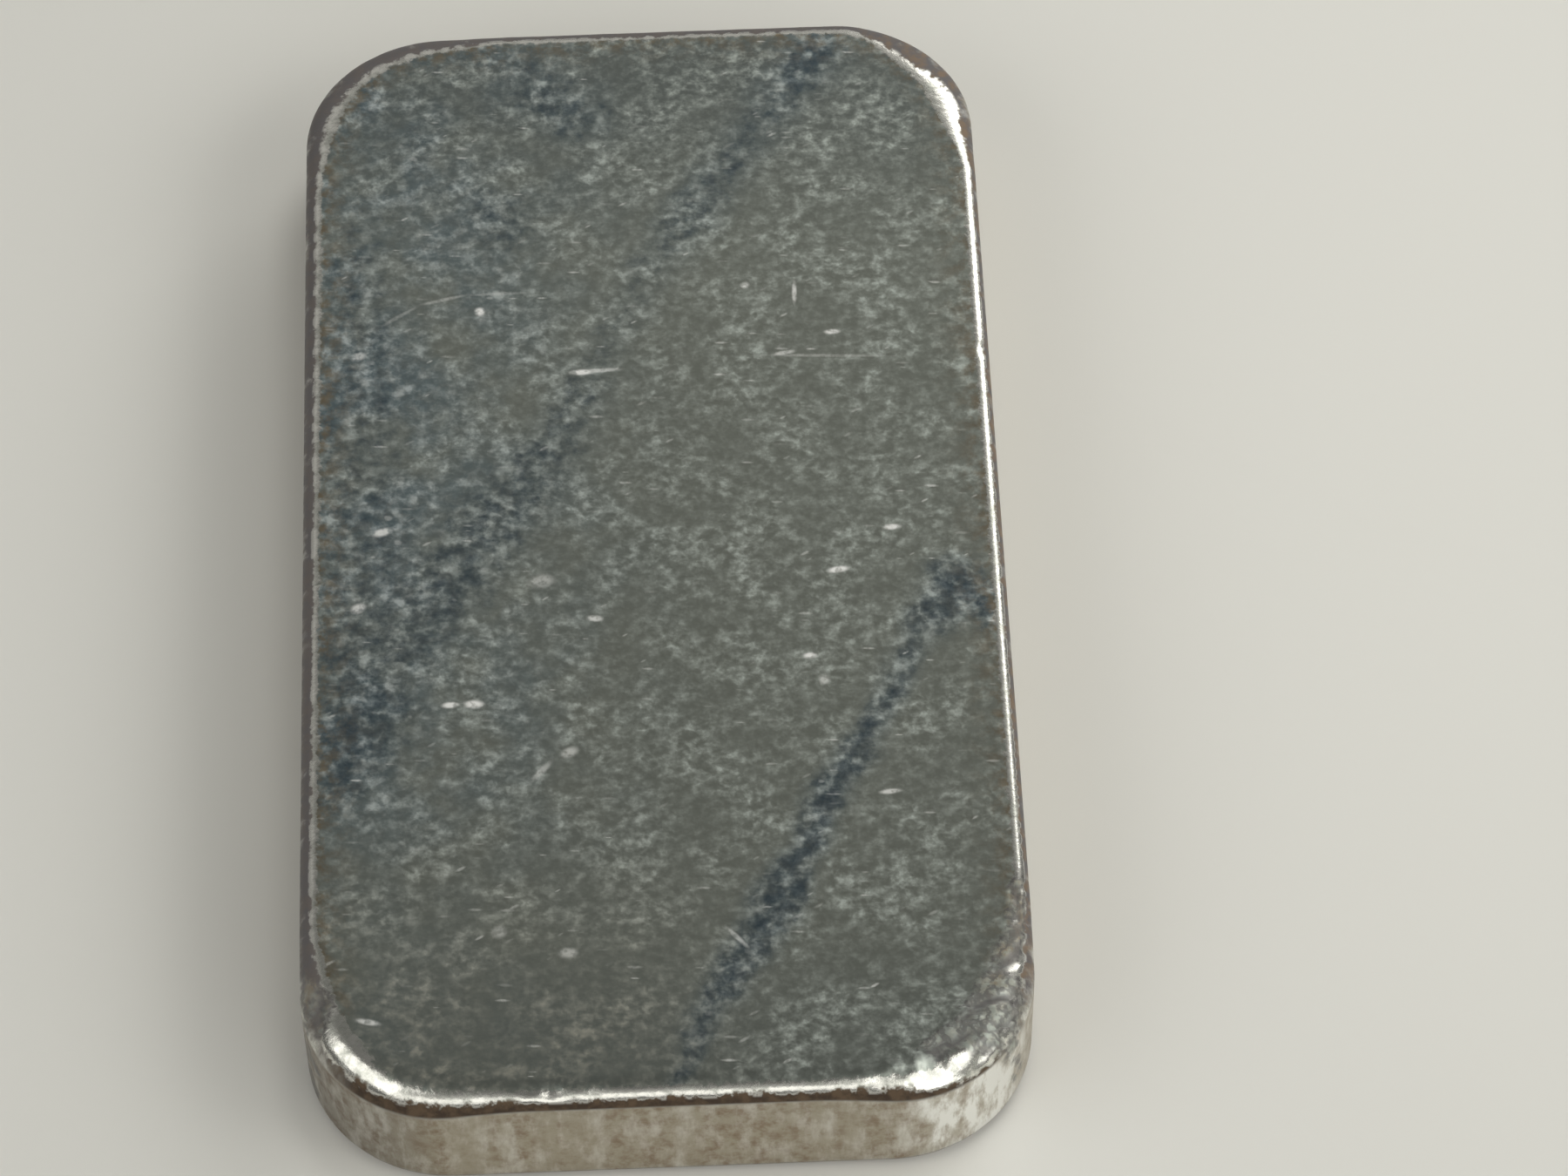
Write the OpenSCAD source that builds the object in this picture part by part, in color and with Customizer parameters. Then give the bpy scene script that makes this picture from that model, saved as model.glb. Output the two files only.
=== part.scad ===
// Plain silver bar: one pressed piece with round corners and softly rolled edges.
// It lies flat, origin at the centre of its underside, length along Y and thickness along Z.

/* [Bar] */
// Width of the bar across X
bar_width = 42.5; // [30:0.1:65]
// Length of the bar along Y
bar_length = 80; // [50:0.1:125]
// Thickness of the bar along Z
bar_thickness = 8.9; // [5:0.1:15]

/* [Edges] */
// Radius of the four upright corners in plan
corner_radius = 8.6; // [4:0.1:14]
// Radius of the rolled edge round both broad faces
edge_radius = 1; // [0.3:0.05:2.4]

/* [Hidden] */
$fn = 96;
silver_grey = [0.66, 0.66, 0.63];
quarter_turn = 90;
// Straight run of the two short sides, between the corners
short_run = bar_width - 2 * corner_radius;
// Straight run of the two long sides, between the corners
long_run = bar_length - 2 * corner_radius;
// Upright part of the rim section, between the two rolled edges
rim_land = bar_thickness - 2 * edge_radius;
// Flat part of the rim section, from its inner end to the rolled edge
rim_reach = corner_radius - edge_radius;

// Section of the rim: as deep as the corner radius, as high as the bar, rolled at both outer edges
module rim_section() {
    square([rim_reach, bar_thickness]);
    translate([0, edge_radius])
        square([corner_radius, rim_land]);
    for (height = [edge_radius, bar_thickness - edge_radius])
        translate([rim_reach, height])
            circle(r = edge_radius);
}

// Rim turned through a quarter circle about the corner's own axis
module turned_corner() {
    rotate_extrude(angle = quarter_turn)
        rim_section();
}

// Rim run straight along one side, facing +X from the line between two corner axes
module straight_side(run) {
    rotate([quarter_turn, 0, 0])
        linear_extrude(height = run, center = true)
            rim_section();
}

// Block between the four corner axes
module middle_block() {
    translate([-short_run / 2, -long_run / 2, 0])
        cube([short_run, long_run, bar_thickness]);
}

// Corners and sides in pairs, each pair half a turn apart about the bar's centre
module silver_bar() {
    color(silver_grey) {
        middle_block();
        for (half_turn = [0, 2 * quarter_turn])
            rotate([0, 0, half_turn]) {
                translate([short_run / 2, 0, 0])
                    straight_side(long_run);
                translate([0, long_run / 2, 0])
                    rotate([0, 0, quarter_turn])
                        straight_side(short_run);
                translate([short_run / 2, long_run / 2, 0])
                    turned_corner();
                translate([-short_run / 2, long_run / 2, 0])
                    rotate([0, 0, quarter_turn])
                        turned_corner();
            }
    }
}

silver_bar();
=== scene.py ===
"""Looks of a plain silver bar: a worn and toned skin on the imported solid, on a pale floor in soft light."""

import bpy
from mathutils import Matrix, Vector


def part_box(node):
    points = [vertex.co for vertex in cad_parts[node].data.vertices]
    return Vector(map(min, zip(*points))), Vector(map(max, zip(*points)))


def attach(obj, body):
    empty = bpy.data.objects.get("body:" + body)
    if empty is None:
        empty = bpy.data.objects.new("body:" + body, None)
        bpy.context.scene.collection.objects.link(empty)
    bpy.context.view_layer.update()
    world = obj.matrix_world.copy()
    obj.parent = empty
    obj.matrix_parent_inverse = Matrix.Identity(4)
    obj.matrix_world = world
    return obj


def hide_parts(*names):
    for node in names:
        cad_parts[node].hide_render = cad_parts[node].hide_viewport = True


bl_info = {
    "name": "Worn Silver Bar",
    "version": (1, 0, 0),
    "blender": (4, 5, 0),
    "location": "View3D > Sidebar > Silver Bar",
    "description": "Builds a toned and scuffed silver bar and the stage that it lies on",
    "category": "Add Mesh",
}

import math

import bpy
from bpy.props import FloatProperty, FloatVectorProperty, IntProperty, PointerProperty
from mathutils import Matrix, Vector

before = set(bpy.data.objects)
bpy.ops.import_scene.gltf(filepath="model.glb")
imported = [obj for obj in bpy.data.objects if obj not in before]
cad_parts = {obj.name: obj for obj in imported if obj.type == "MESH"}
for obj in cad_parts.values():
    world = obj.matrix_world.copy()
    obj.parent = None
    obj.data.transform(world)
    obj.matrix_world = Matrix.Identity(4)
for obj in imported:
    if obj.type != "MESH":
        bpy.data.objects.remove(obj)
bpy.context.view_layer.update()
bar_low, bar_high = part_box("silver_bar")
BAR_SIZE = bar_high - bar_low

MM = 0.001
SENSOR_WIDTH_MM = 36.0

# Places on the face are shares of the bar's width and length, counted from its middle
# Blue-black streaks: each a line of points (across, along, half width in mm, strength)
TONING_STREAKS = (
    # from the far edge down to the left side
    ((0.275, 0.47, 2.2, 0.8), (0.245, 0.445, 2.2, 0.75), (0.19, 0.4, 2.0, 0.5), (0.08, 0.31, 2.2, 0.5),
     (-0.01, 0.23, 2.2, 0.25), (-0.07, 0.165, 2.4, 0.3), (-0.15, 0.065, 2.8, 0.5), (-0.235, 0.005, 3.2, 0.6),
     (-0.3, -0.055, 3.4, 0.55), (-0.385, -0.115, 3.6, 0.5)),
    # from the right edge down to the near edge
    ((0.475, -0.09, 2.0, 0.7), (0.43, -0.065, 2.2, 0.75), (0.365, -0.115, 1.5, 0.5), (0.31, -0.175, 1.2, 0.6),
     (0.245, -0.24, 1.5, 0.7), (0.185, -0.3, 1.4, 0.7), (0.15, -0.35, 1.7, 0.7),
     (0.075, -0.41, 1.5, 0.65), (0.035, -0.45, 1.1, 0.6), (0.01, -0.49, 0.9, 0.5)),
    # down the left side
    ((-0.4, 0.37, 2.6, 0.25), (-0.42, 0.24, 3.6, 0.4), (-0.42, 0.1, 4.4, 0.4), (-0.42, 0.0, 4.6, 0.42),
     (-0.42, -0.09, 4.2, 0.5), (-0.42, -0.17, 4.0, 0.7), (-0.45, -0.23, 2.6, 0.6)),
    # a patch by the far edge and one below it
    ((-0.15, 0.44, 3.2, 0.6), (-0.1, 0.41, 3.2, 0.6)),
    ((-0.22, 0.315, 2.4, 0.5), (-0.2, 0.29, 2.4, 0.5)),
)
# Marks that stand out: across, along, half length and half width in mm, turn in degrees, strength
BRIGHT_MARKS = (
    (-0.36, 0.21, 1.7, 0.14, 33, 0.25), (-0.295, 0.225, 1.8, 0.14, 13, 0.35),
    (-0.215, 0.229, 2.2, 0.13, 0, 0.3),
    (-0.073, 0.15, 1.8, 0.17, 2, 0.55), (-0.095, 0.149, 0.9, 0.22, 1, 0.9),
    (0.26, 0.157, 5.0, 0.12, -3, 0.3), (0.2, 0.161, 0.9, 0.17, 10, 0.6), (0.22, 0.22, 1.1, 0.15, 88, 0.7),
    (-0.29, -0.158, 0.65, 0.22, 2, 0.9), (-0.257, -0.158, 0.75, 0.3, -4, 0.9),
    (-0.165, -0.22, 1.1, 0.22, 48, 0.4), (-0.125, -0.204, 0.7, 0.35, 25, 0.5),
    (-0.242, 0.212, 0.4, 0.33, 0, 0.9), (0.148, 0.229, 0.35, 0.25, 0, 0.8), (0.272, 0.18, 0.6, 0.2, 0, 0.9),
    (0.262, -0.047, 0.8, 0.24, 8, 1.0), (0.342, -0.009, 0.65, 0.22, 0, 0.9),
    (0.216, -0.125, 0.55, 0.22, 0, 0.9), (0.234, -0.147, 0.4, 0.4, 0, 0.5),
    (0.317, -0.249, 0.8, 0.18, 4, 0.7), (-0.385, 0.003, 0.8, 0.3, 15, 0.75),
    (-0.419, -0.067, 0.6, 0.35, 30, 0.7), (-0.419, 0.172, 0.6, 0.3, 25, 0.55),
    (-0.085, -0.084, 0.6, 0.24, -5, 0.7), (-0.226, -0.358, 0.6, 0.4, 20, 0.4),
    (-0.133, -0.378, 0.7, 0.35, 0, 0.45), (0.097, -0.37, 1.2, 0.15, -50, 0.5),
    (-0.405, -0.43, 0.9, 0.2, -14, 0.7), (-0.16, -0.048, 1.0, 0.5, 10, 0.45),
)
# A mark fades out at these shares of its half length and half width
MARK_LENGTH_SHARE = 1.1
MARK_WIDTH_SHARE = 1.4
# Bruised near corners: side (right 1, left -1), heading, reach in mm, half angle in degrees,
# depth and size of the lumps in mm, painted shade between the folds
CORNER_BRUISES = (
    (1.0, (1.0, -0.75), 3.4, 70.0, 0.4, 1.2, 0.0),
    (-1.0, (-1.0, -0.2), 2.0, 17.0, 0.3, 0.8, 0.45),
)
# Dents of the upper edge: across, along, then mm below the top, radius and depth in mm
EDGE_DENTS = (
    (-0.16, -0.492, 0.2, 0.9, 0.12), (-0.19, -0.49, 0.1, 0.6, 0.1),
    (-0.1, -0.494, 0.3, 0.6, 0.08), (0.49, 0.16, 0.2, 0.7, 0.08),
)
# The face's border is this wide, and the upper roll counts as this much further out
BORDER_REACH_MM = 4.0
ROLL_RUN_MM = 2.5
# Soft panels: heading from +Y towards +X and height in degrees, width and height in metres, brightness
PANELS = {
    "camera_side_panel": (180.0, 24.5, 1.0, 0.2, 0.9),
    "near_right_panel": (135.0, 32.0, 0.52, 0.44, 1.1),
    "far_right_window": (33.0, 24.0, 0.36, 0.3, 2.6),
    "right_panel": (105.0, 38.0, 0.4, 0.3, 1.8),
    "left_panel": (-118.0, 36.0, 0.5, 0.4, 1.2),
}
PANEL_DISTANCE = 0.6
FLOOR_REACH = 1.5


class BarShape(bpy.types.PropertyGroup):
    """Sizes of the bar and of the mesh that draws it; shares are of the edge radius."""

    width: FloatProperty(name="Width", description="Across X", default=BAR_SIZE.x, unit="LENGTH")
    length: FloatProperty(name="Length", description="Along Y", default=BAR_SIZE.y, unit="LENGTH")
    thickness: FloatProperty(name="Thickness", description="Along Z", default=BAR_SIZE.z, unit="LENGTH")
    corner_radius: FloatProperty(
        name="Corner Radius", description="Upright corners, in plan", default=8.6 * MM, unit="LENGTH")
    edge_radius: FloatProperty(
        name="Edge Radius", description="Rolled edge round both faces", default=1.0 * MM, unit="LENGTH")
    side_roll: FloatProperty(
        name="Side Roll", description="Upper edge radius down the right side, as a share", default=0.85)
    left_roll: FloatProperty(
        name="Left Roll", description="Upper edge radius down the left side, as a share", default=1.05)
    far_roll: FloatProperty(
        name="Far Roll", description="Upper edge width at the far end, as a share", default=1.25)
    near_roll: FloatProperty(
        name="Near Roll", description="Upper edge radius at the near end, as a share", default=1.45)
    corner_roll: FloatProperty(
        name="Corner Roll", description="Upper edge width at three corners, as a share", default=2.1)
    far_right_roll: FloatProperty(
        name="Far Right Roll", description="Upper edge width at the far right corner, as a share",
        default=2.6)
    far_depth: FloatProperty(
        name="Far Depth", description="Greatest upper edge depth on the far half, as a share", default=1.15)
    cell: FloatProperty(
        name="Cell", description="Side of a face's mesh cell", default=0.33 * MM, unit="LENGTH")
    edge_steps: IntProperty(name="Edge Steps", description="Mesh rows over a rolled edge", default=10)
    wall_steps: IntProperty(name="Wall Steps", description="Mesh rows down the wall", default=12)


class BarWear(bpy.types.PropertyGroup):
    """Dents and waves that handling left in the shape."""

    wave_height: FloatProperty(
        name="Wave Height", description="Slow waves of the top face", default=0.025 * MM, unit="LENGTH")
    wave_size: FloatProperty(
        name="Wave Size", description="From one wave to the next", default=14.0 * MM, unit="LENGTH")
    ripple_height: FloatProperty(
        name="Ripple Height", description="Unevenness of the rolled edge", default=0.06 * MM, unit="LENGTH")
    ripple_size: FloatProperty(
        name="Ripple Size", description="From one uneven place to the next", default=2.0 * MM, unit="LENGTH")
    dent_depth: FloatProperty(
        name="Dent Depth", description="Scattered dents of the rolled edge", default=0.03 * MM, unit="LENGTH")
    dent_radius: FloatProperty(
        name="Dent Radius", description="Scattered dents of the rolled edge", default=0.7 * MM, unit="LENGTH")
    dent_spacing: FloatProperty(
        name="Dent Spacing", description="Least gap between two dents", default=3.2 * MM, unit="LENGTH")
    seed: IntProperty(name="Seed", description="Picks the places of the dents", default=7)


class BarFinish(bpy.types.PropertyGroup):
    """Colours of the silver and of what lies on it, and of its painted shade and highlight."""

    silver: FloatVectorProperty(
        name="Silver", description="Worn face", subtype="COLOR", default=(0.38, 0.405, 0.355))
    film: FloatVectorProperty(
        name="Film", description="Thin cool film round the streaks", subtype="COLOR",
        default=(0.255, 0.335, 0.36))
    toning: FloatVectorProperty(
        name="Toning", description="Blue-black streaks", subtype="COLOR", default=(0.095, 0.138, 0.172))
    haze: FloatVectorProperty(
        name="Haze", description="Pale specks and clouds", subtype="COLOR", default=(0.66, 0.72, 0.665))
    frost: FloatVectorProperty(
        name="Frost", description="Haze over the film", subtype="COLOR", default=(0.61, 0.68, 0.69))
    tan: FloatVectorProperty(
        name="Tan", description="Tan tints of the border, the film and the haze", subtype="COLOR",
        default=(0.34, 0.29, 0.21))
    # also the colour of the painted highlight round the wall's near right corner
    scratch: FloatVectorProperty(
        name="Scratch", description="Fresh metal in nicks", subtype="COLOR", default=(0.95, 0.95, 0.92))
    edge: FloatVectorProperty(
        name="Edge", description="Burnished rolled edge", subtype="COLOR", default=(0.88, 0.87, 0.81))
    wall: FloatVectorProperty(
        name="Wall", description="Warm upright sides", subtype="COLOR", default=(0.425, 0.382, 0.3))
    stain: FloatVectorProperty(
        name="Stain", description="Brown stains", subtype="COLOR", default=(0.26, 0.18, 0.11))
    # the near edge's dark band: tarnished silver under a painted dark reflection
    tarnish: FloatVectorProperty(
        name="Tarnish", description="Dark tarnish of the near edge", subtype="COLOR",
        default=(0.06, 0.042, 0.03))
    # grey of tarnished silver and painted shade in one: dark bands of the far, left and right edges, the
    # bruises' folds and border line, the wall's left
    patina: FloatVectorProperty(
        name="Patina", description="Grey of the other edges, the bruises and the left wall", subtype="COLOR",
        default=(0.15, 0.142, 0.143))


class StageSetup(bpy.types.PropertyGroup):
    """Floor, light and camera."""

    floor_colour: FloatVectorProperty(
        name="Floor", description="Pale floor", subtype="COLOR", default=(0.83, 0.825, 0.78))
    light_colour: FloatVectorProperty(
        name="Light", description="Tint of the lamps and the room", subtype="COLOR", default=(1.0, 0.99, 0.95))
    ambient: FloatProperty(name="Ambient", description="Light from all round", default=0.39)
    lens_mm: FloatProperty(name="Lens", description="Focal length in millimetres", default=135.65)
    azimuth: FloatProperty(
        name="Azimuth", description="Camera's heading from +Y", default=math.radians(1.725), subtype="ANGLE")
    depression: FloatProperty(
        name="Depression", description="Camera's dip", default=math.radians(54.59), subtype="ANGLE")
    roll: FloatProperty(
        name="Roll", description="Camera's turn", default=math.radians(0.684), subtype="ANGLE")
    distance: FloatProperty(
        name="Distance", description="Camera to the aim point", default=355.74 * MM, unit="LENGTH")
    aim: FloatVectorProperty(
        name="Aim", description="Point at the picture's centre", subtype="TRANSLATION",
        default=(7.81 * MM, -4.99 * MM, BAR_SIZE.z))


class Tree:
    """A node tree in the making, with short ways to add nodes and link them."""

    def __init__(self, tree):
        self.tree = tree

    def socket(self, name, kind, out=False):
        self.tree.interface.new_socket(
            name=name, in_out="OUTPUT" if out else "INPUT", socket_type="NodeSocket" + kind)

    def feed(self, socket, value):
        if isinstance(value, bpy.types.Node):
            value = value.outputs[0]
        if isinstance(value, bpy.types.NodeSocket):
            self.tree.links.new(value, socket)
        else:
            socket.default_value = value

    def node(self, kind, inputs=None, **settings):
        made = self.tree.nodes.new(kind)
        for name, value in settings.items():
            setattr(made, name, value)
        for name, value in (inputs or {}).items():
            self.feed(made.inputs[name], value)
        return made

    def math(self, operation, *values, clamp=False):
        made = self.node("ShaderNodeMath", operation=operation, use_clamp=clamp)
        for socket, value in zip(made.inputs, values):
            self.feed(socket, value)
        return made.outputs["Value"]

    def times(self, first, *others):
        for other in others:
            first = self.math("MULTIPLY", first, other)
        return first

    def largest(self, first, *others):
        for other in others:
            first = self.math("MAXIMUM", first, other)
        return first

    def vector(self, operation, *values):
        made = self.node("ShaderNodeVectorMath", operation=operation)
        for socket, value in zip(made.inputs, values):
            self.feed(socket, value)
        scalar = operation in ("LENGTH", "DISTANCE", "DOT_PRODUCT")
        return made.outputs["Value" if scalar else "Vector"]

    def scale(self, vector, factor):
        made = self.node("ShaderNodeVectorMath", {"Vector": vector, "Scale": factor}, operation="SCALE")
        return made.outputs["Vector"]

    def combine(self, x=0.0, y=0.0, z=0.0):
        return self.node("ShaderNodeCombineXYZ", {"X": x, "Y": y, "Z": z}).outputs[0]

    def split(self, vector):
        return self.node("ShaderNodeSeparateXYZ", {"Vector": vector}).outputs

    def ramp(self, value, low, high, start=0.0, end=1.0, kind="SMOOTHSTEP"):
        """Value taken from low..high to start..end, held at both ends."""
        made = self.node("ShaderNodeMapRange", interpolation_type=kind, clamp=True)
        for name, number in (("Value", value), ("From Min", low), ("From Max", high),
                             ("To Min", start), ("To Max", end)):
            self.feed(made.inputs[name], number)
        return made.outputs["Result"]

    def noise(self, vector, scale, detail=2.0, roughness=0.5, distortion=0.0, output="Fac"):
        made = self.node("ShaderNodeTexNoise", {
            "Vector": vector, "Scale": scale, "Detail": detail, "Roughness": roughness,
            "Distortion": distortion})
        return made.outputs[output]

    def mix(self, factor, first, second):
        made = self.node("ShaderNodeMix", data_type="RGBA")
        for index, value in ((0, factor), (6, first), (7, second)):
            if not isinstance(value, (bpy.types.NodeSocket, float)):
                value = (*value, 1.0)
            self.feed(made.inputs[index], value)
        return made.outputs[2]

    def blend(self, factor, first, second):
        made = self.node("ShaderNodeMix", data_type="FLOAT")
        for index, value in ((0, factor), (2, first), (3, second)):
            self.feed(made.inputs[index], value)
        return made.outputs[0]

    def group(self, tree, **inputs):
        kind = "GeometryNodeGroup" if self.tree.bl_idname == "GeometryNodeTree" else "ShaderNodeGroup"
        made = self.node(kind, node_tree=tree)
        for name, value in inputs.items():
            self.feed(made.inputs[name.replace("_", " ").title()], value)
        return made


def new_group(name, kind, inputs, outputs):
    """An empty node group of that kind with its named sockets."""
    old = bpy.data.node_groups.get(name)
    if old:
        bpy.data.node_groups.remove(old)
    tree = Tree(bpy.data.node_groups.new(name, kind))
    for socket, socket_kind in inputs:
        tree.socket(socket, socket_kind)
    for socket, socket_kind in outputs:
        tree.socket(socket, socket_kind, out=True)
    tree.result = tree.node("NodeGroupOutput")
    return tree, tree.node("NodeGroupInput").outputs


def on_face(across, along, height=0.0):
    """Shares of the bar's width and length as a place on the bar, in metres."""
    return Vector((across * BAR_SIZE.x, along * BAR_SIZE.y, height))


def dent_group():
    """How deep a round dent is at each point of a surface."""
    tree, given = new_group(
        "Dent", "GeometryNodeTree", (("Place", "Vector"), ("Radius", "Float"), ("Depth", "Float")),
        (("Depth", "Float"),))
    position = tree.node("GeometryNodeInputPosition").outputs[0]
    share = tree.math("DIVIDE", tree.vector("DISTANCE", position, given["Place"]), given["Radius"])
    hollow = tree.ramp(share, 0.1, 1.0, 1.0, 0.0)
    tree.feed(tree.result.inputs["Depth"], tree.times(hollow, given["Depth"]))
    return tree.tree


def bruise_group():
    """A knocked-flat corner: a mask, how far it is pressed down, its folds and painted shade between them."""
    tree, given = new_group(
        "Corner Bruise", "GeometryNodeTree",
        (("Centre", "Vector"), ("Direction", "Vector"), ("Outer Radius", "Float"), ("Reach", "Float"),
         ("Half Angle", "Float"), ("Depth", "Float"), ("Lump Size", "Float"), ("Gloom", "Float")),
        (("Mask", "Float"), ("Depth", "Float"), ("Fold", "Float")))
    position = tree.node("GeometryNodeInputPosition").outputs[0]
    # the ridges between the folds lie aslant
    slanted = tree.node("ShaderNodeVectorRotate", {"Vector": position, "Angle": math.radians(-25.0)},
                        rotation_type="Z_AXIS").outputs[0]
    slanted = tree.vector("MULTIPLY", slanted, (0.6, 1.3, 1.0))
    lumps = tree.noise(slanted, tree.math("DIVIDE", 1.0, given["Lump Size"]), 3.0, 0.62)
    fold = tree.ramp(lumps, 0.43, 0.55, 1.0, 0.0)
    arm = tree.vector("MULTIPLY", tree.vector("SUBTRACT", position, given["Centre"]), (1.0, 1.0, 0.0))
    radius = tree.vector("LENGTH", arm)
    turn = tree.math(
        "ARCCOSINE", tree.vector("DOT_PRODUCT", tree.vector("NORMALIZE", arm), given["Direction"]))
    swing = tree.math("DIVIDE", turn, given["Half Angle"])
    # the bruise reaches furthest in along its direction, and its inner border is ragged
    reach = tree.times(given["Reach"], tree.math("SUBTRACT", 1.0, tree.math("POWER", swing, 2.0)))
    ragged = tree.times(tree.math("SUBTRACT", lumps, 0.5), given["Reach"], 0.7)
    border = tree.math("SUBTRACT", given["Outer Radius"], tree.math("ADD", reach, ragged))
    past = tree.math("DIVIDE", tree.math("SUBTRACT", radius, border), given["Reach"])
    mask = tree.times(tree.ramp(past, 0.0, 0.16), tree.math("LESS_THAN", swing, 1.0))
    slope = tree.ramp(past, 0.0, 1.0, 0.4, 1.0, "LINEAR")
    press = tree.times(slope, tree.math("MULTIPLY_ADD", fold, 0.8, 0.4))
    tree.feed(tree.result.inputs["Mask"], mask)
    tree.feed(tree.result.inputs["Depth"], tree.times(mask, press, given["Depth"]))
    # the fold output is painted shade between the folds, deepened by the Gloom input
    gloomy = tree.math("ADD", fold, given["Gloom"], clamp=True)
    tree.feed(tree.result.inputs["Fold"], tree.times(mask, gloomy))
    return tree.tree


def stroke_group():
    """Mask of a soft-edged stroke from one point of the face to another."""
    tree, given = new_group(
        "Stroke", "GeometryNodeTree",
        (("Place", "Vector"), ("Start", "Vector"), ("End", "Vector"), ("Start Width", "Float"),
         ("End Width", "Float"), ("Start Strength", "Float"), ("End Strength", "Float")),
        (("Mask", "Float"),))
    run = tree.vector("SUBTRACT", given["End"], given["Start"])
    arm = tree.vector("SUBTRACT", given["Place"], given["Start"])
    share = tree.math("DIVIDE", tree.vector("DOT_PRODUCT", arm, run),
                      tree.vector("DOT_PRODUCT", run, run), clamp=True)
    away = tree.vector("DISTANCE", arm, tree.scale(run, share))
    width = tree.blend(share, given["Start Width"], given["End Width"])
    fade = tree.ramp(tree.math("DIVIDE", away, width), 0.1, 1.4, 1.0, 0.0)
    strength = tree.blend(share, given["Start Strength"], given["End Strength"])
    tree.feed(tree.result.inputs["Mask"], tree.times(fade, strength))
    return tree.tree


def stored(tree, geometry, name, kind, value, selection=True):
    """Geometry with a named attribute on its points."""
    made = tree.node("GeometryNodeStoreNamedAttribute", {"Geometry": geometry, "Name": name},
                     data_type=kind, domain="POINT")
    tree.feed(made.inputs["Value"], value)
    tree.feed(made.inputs["Selection"], selection)
    return made.outputs[0]


def named(tree, name, kind="FLOAT"):
    """A named attribute of the points, in a Geometry Nodes tree."""
    return tree.node("GeometryNodeInputNamedAttribute", {"Name": name}, data_type=kind).outputs["Attribute"]


def moved(tree, geometry, **inputs):
    """Geometry with its points set to a position or shifted by an offset."""
    made = tree.node("GeometryNodeSetPosition", {"Geometry": geometry})
    for name, value in inputs.items():
        tree.feed(made.inputs[name.title()], value)
    return made.outputs[0]


def face_sheet(tree, given):
    """One broad face as a flat grid with round corners, which keeps its border's direction and its inset."""
    edge, cell = given["Edge Radius"], given["Cell"]
    half_x = tree.math("SUBTRACT", tree.times(given["Width"], 0.5), edge)
    half_y = tree.math("SUBTRACT", tree.times(given["Length"], 0.5), edge)
    wide, long = tree.times(half_x, 2.0), tree.times(half_y, 2.0)
    grid = tree.node("GeometryNodeMeshGrid", {
        "Size X": wide, "Size Y": long,
        "Vertices X": tree.math("CEIL", tree.math("DIVIDE", wide, cell)),
        "Vertices Y": tree.math("CEIL", tree.math("DIVIDE", long, cell))})
    turn = tree.math("SUBTRACT", given["Corner Radius"], edge)
    inner = tree.combine(tree.math("SUBTRACT", half_x, turn), tree.math("SUBTRACT", half_y, turn))
    position = tree.node("GeometryNodeInputPosition").outputs[0]
    size = tree.vector("ABSOLUTE", position)
    sign = tree.vector("SIGN", position)
    beyond = tree.vector("SUBTRACT", size, inner)
    beyond_x, beyond_y, _ = tree.split(beyond)
    # square rings round each corner's centre are drawn in to circles
    past = tree.vector("MAXIMUM", beyond, (0.0, 0.0, 0.0))
    past_x, past_y, _ = tree.split(past)
    reach = tree.largest(past_x, past_y)
    rounded = tree.scale(past, tree.math("DIVIDE", reach, tree.vector("LENGTH", past)))
    outward = tree.vector("MULTIPLY", sign, tree.vector("NORMALIZE", rounded))
    place = tree.vector("MULTIPLY", sign, tree.vector("ADD", tree.vector("SUBTRACT", size, past), rounded))
    within = tree.math("MINIMUM", tree.largest(beyond_x, beyond_y), 0.0)
    inset = tree.math("SUBTRACT", given["Corner Radius"], tree.math("ADD", reach, within))
    sheet = stored(tree, grid.outputs["Mesh"], "outward", "FLOAT_VECTOR", outward)
    sheet = stored(tree, sheet, "inset", "FLOAT", inset)
    return moved(tree, sheet, position=place)


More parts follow.
